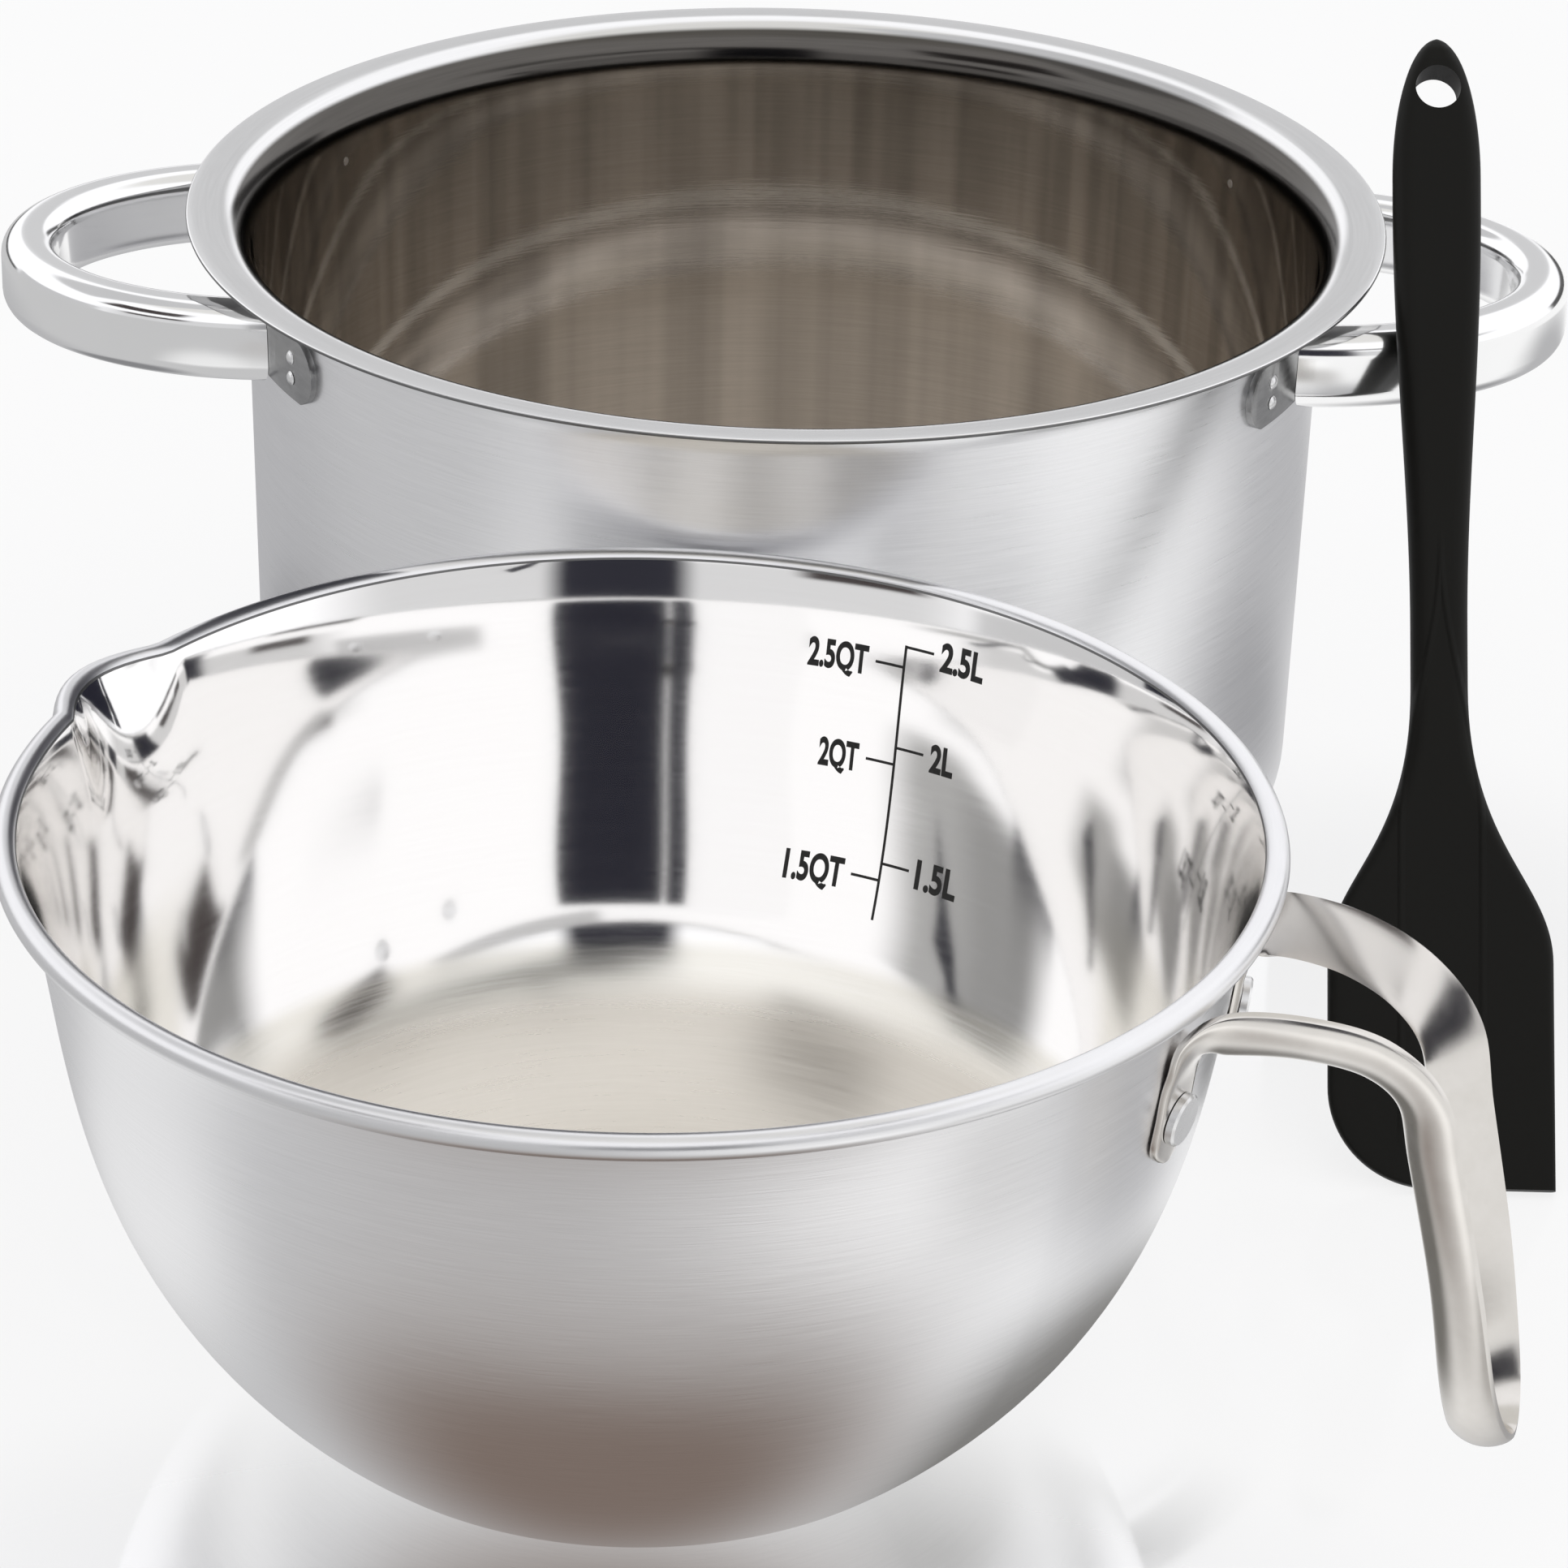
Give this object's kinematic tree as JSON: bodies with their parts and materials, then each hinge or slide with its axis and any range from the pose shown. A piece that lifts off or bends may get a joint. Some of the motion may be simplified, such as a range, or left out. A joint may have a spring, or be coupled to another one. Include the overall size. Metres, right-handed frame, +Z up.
{
  "type": "double boiler",
  "caption": "Double boiler: a steel pot with loop handles, a melting bowl with a pouring spout and strap handle that seats in the pot's rim, and a silicone spatula.",
  "frame": {"origin": "middle of the pot's base, on the surface that the set stands on", "axes": "+Z up along the pot's axis; +X to the right through the middle of the right loop handle; -Y towards the viewer, where the bowl stands"},
  "size_m": [0.32, 0.4513, 0.1762],
  "materials": {
    "pot_steel": "satin outside with fine horizontal grain, polished inside and on the lip",
    "heat_disc": "bare, closed in by the base cap",
    "loop_steel": "polished",
    "bracket_steel": "polished",
    "rivet_steel": "satin",
    "bowl_steel": "satin outside, mirror inside, satin flat bottom",
    "strap_steel": "satin",
    "silicone": "satin",
    "core_steel": "plain"
  },
  "bodies": {
    "pot": {"pot_shell": "pot_steel", "pot_base_core": "heat_disc", "pot_base_cap": "pot_steel", "left_handle": "loop_steel", "right_handle": "loop_steel", "left_front_bracket": "bracket_steel", "left_rear_bracket": "bracket_steel", "right_front_bracket": "bracket_steel", "right_rear_bracket": "bracket_steel", "left_handle_rivets": "rivet_steel", "right_handle_rivets": "rivet_steel"},
    "bowl": {"bowl_shell": "bowl_steel", "bowl_handle": "strap_steel", "bowl_handle_rivets": "rivet_steel"},
    "spatula": {"spatula_silicone": "silicone", "spatula_core": "core_steel"}
  },
  "joints": [
    {"name": "bowl_lift", "type": "slide", "parent": "pot", "child": "bowl", "axis": [0, -0.5, 0.866], "range_m": [0, 0.3]},
    {"name": "spatula_lift", "type": "slide", "parent": "pot", "child": "spatula", "axis": [0, 0, 1], "range_m": [0, 0.3]}
  ]
}
